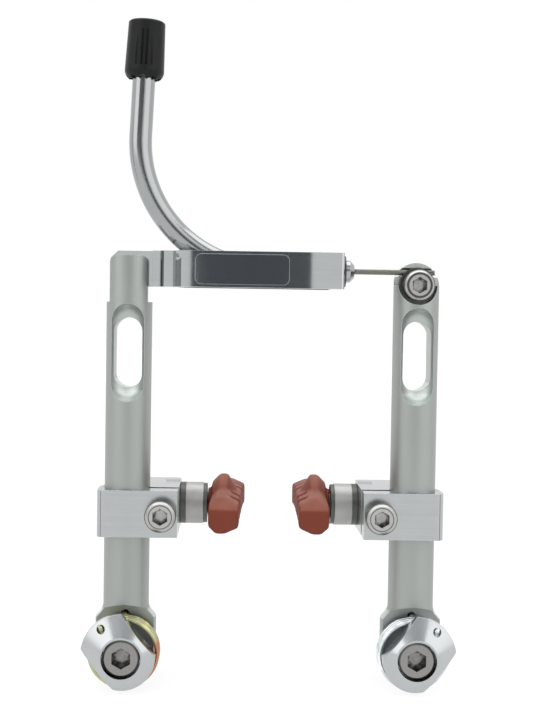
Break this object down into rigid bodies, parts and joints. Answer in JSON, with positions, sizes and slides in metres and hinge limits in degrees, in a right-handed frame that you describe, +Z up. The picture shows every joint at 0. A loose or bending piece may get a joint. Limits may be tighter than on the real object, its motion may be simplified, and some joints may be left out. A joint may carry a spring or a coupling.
{
  "type": "linear-pull brake",
  "caption": "Linear-pull rim brake: round arms on pivot bushings, box link with guide tube, split pad clamps, red pads and turn-to-adjust return springs.",
  "frame": {"origin": "midway between the two frame stud axes, in the plane of the frame's stud bosses", "axes": "+X to the viewer's right seen from the front, +Y towards the bicycle along the stud axes, +Z up"},
  "size_m": [0.1024, 0.0644, 0.1838],
  "materials": {
    "satin_aluminium": "bead-blasted and clear anodised",
    "polished_aluminium": "polished with fine milling marks",
    "stainless_steel": "bright turned",
    "satin_steel": "satin",
    "dark_steel": "dark, slightly rough",
    "bushing_steel": "ground",
    "tube_steel": "polished tube",
    "left_spring_plating": "yellow plated",
    "right_spring_plating": "bright plated",
    "wire_steel": "stranded wire",
    "pad_rubber": "matt moulded",
    "boot_rubber": "matt ribbed"
  },
  "bodies": {
    "stud_parts": {"left_pivot_bushing": "bushing_steel", "left_mount_bolt": "stainless_steel", "right_pivot_bushing": "bushing_steel", "right_mount_bolt": "stainless_steel"},
    "left_lever": {"left_arm": "satin_aluminium", "link_pivot_bolt": "stainless_steel", "link_thrust_washer": "satin_steel"},
    "right_lever": {"right_arm": "satin_aluminium", "anchor_bolt": "stainless_steel", "anchor_washer": "satin_steel"},
    "link": {"noodle_link": "polished_aluminium", "noodle_tube": "tube_steel", "noodle_tip": "stainless_steel", "noodle_clip": "dark_steel", "noodle_boot": "boot_rubber"},
    "wire": {"brake_wire": "wire_steel"},
    "left_adjuster": {"left_tension_adjuster": "polished_aluminium", "left_return_spring": "left_spring_plating"},
    "left_clamp": {"left_pad_clamp": "polished_aluminium", "left_clamp_bolt": "stainless_steel"},
    "left_pad": {"left_pad_stud": "stainless_steel", "left_brake_pad": "pad_rubber", "left_inner_cup_washer": "dark_steel", "left_pad_spacer": "satin_steel", "left_thin_washer": "dark_steel", "left_outer_cup_washer": "dark_steel", "left_outer_dome_washer": "satin_steel", "left_pad_nut": "stainless_steel"},
    "right_adjuster": {"right_tension_adjuster": "polished_aluminium", "right_return_spring": "right_spring_plating"},
    "right_clamp": {"right_pad_clamp": "polished_aluminium", "right_clamp_bolt": "stainless_steel"},
    "right_pad": {"right_pad_stud": "stainless_steel", "right_brake_pad": "pad_rubber", "right_inner_cup_washer": "dark_steel", "right_pad_spacer": "satin_steel", "right_thin_washer": "dark_steel", "right_outer_cup_washer": "dark_steel", "right_outer_dome_washer": "satin_steel", "right_pad_nut": "stainless_steel"}
  },
  "joints": [
    {"name": "left_arm_pivot", "type": "hinge", "parent": "stud_parts", "child": "left_lever", "pos_m": [-0.04, -0.009, 0], "axis": [0, 1, 0], "range_deg": [-4, 2.6], "stiffness_Nm_per_rad": 3, "deforming": ["left_return_spring"]},
    {"name": "right_arm_pivot", "type": "hinge", "parent": "stud_parts", "child": "right_lever", "pos_m": [0.04, -0.009, 0], "axis": [0, -1, 0], "range_deg": [-4, 2.6], "stiffness_Nm_per_rad": 3, "deforming": ["right_return_spring"]},
    {"name": "link_pivot", "type": "hinge", "parent": "left_lever", "child": "link", "pos_m": [-0.04, -0.0077, 0.1056], "axis": [0, -1, 0], "range_deg": [-4, 2.6]},
    {"name": "wire_level", "type": "hinge", "parent": "right_lever", "child": "wire", "pos_m": [0.04, -0.01, 0.102], "axis": [0, 1, 0], "range_deg": [-4, 2.6]},
    {"name": "left_adjuster_turn", "type": "hinge", "parent": "stud_parts", "child": "left_adjuster", "pos_m": [-0.04, -0.023, 0], "axis": [0, 1, 0], "range_deg": [-20, 20], "deforming": ["left_return_spring"]},
    {"name": "left_pad_height", "type": "slide", "parent": "left_lever", "child": "left_clamp", "axis": [0, 0, 1], "range_m": [-0.01, 0.012]},
    {"name": "left_pad_angle", "type": "hinge", "parent": "left_clamp", "child": "left_pad", "pos_m": [-0.02565, 0.0045, 0.0381], "axis": [1, 0, 0], "range_deg": [-12, 12]},
    {"name": "right_adjuster_turn", "type": "hinge", "parent": "stud_parts", "child": "right_adjuster", "pos_m": [0.04, -0.023, 0], "axis": [0, 1, 0], "range_deg": [-20, 20], "deforming": ["right_return_spring"]},
    {"name": "right_pad_height", "type": "slide", "parent": "right_lever", "child": "right_clamp", "axis": [0, 0, 1], "range_m": [-0.01, 0.012]},
    {"name": "right_pad_angle", "type": "hinge", "parent": "right_clamp", "child": "right_pad", "pos_m": [0.02565, 0.0045, 0.0381], "axis": [1, 0, 0], "range_deg": [-12, 12]}
  ],
  "couplings": [
    {"joint": "right_arm_pivot", "follows": "left_arm_pivot", "ratio": 1},
    {"joint": "link_pivot", "follows": "left_arm_pivot", "ratio": 1},
    {"joint": "wire_level", "follows": "left_arm_pivot", "ratio": 1}
  ]
}
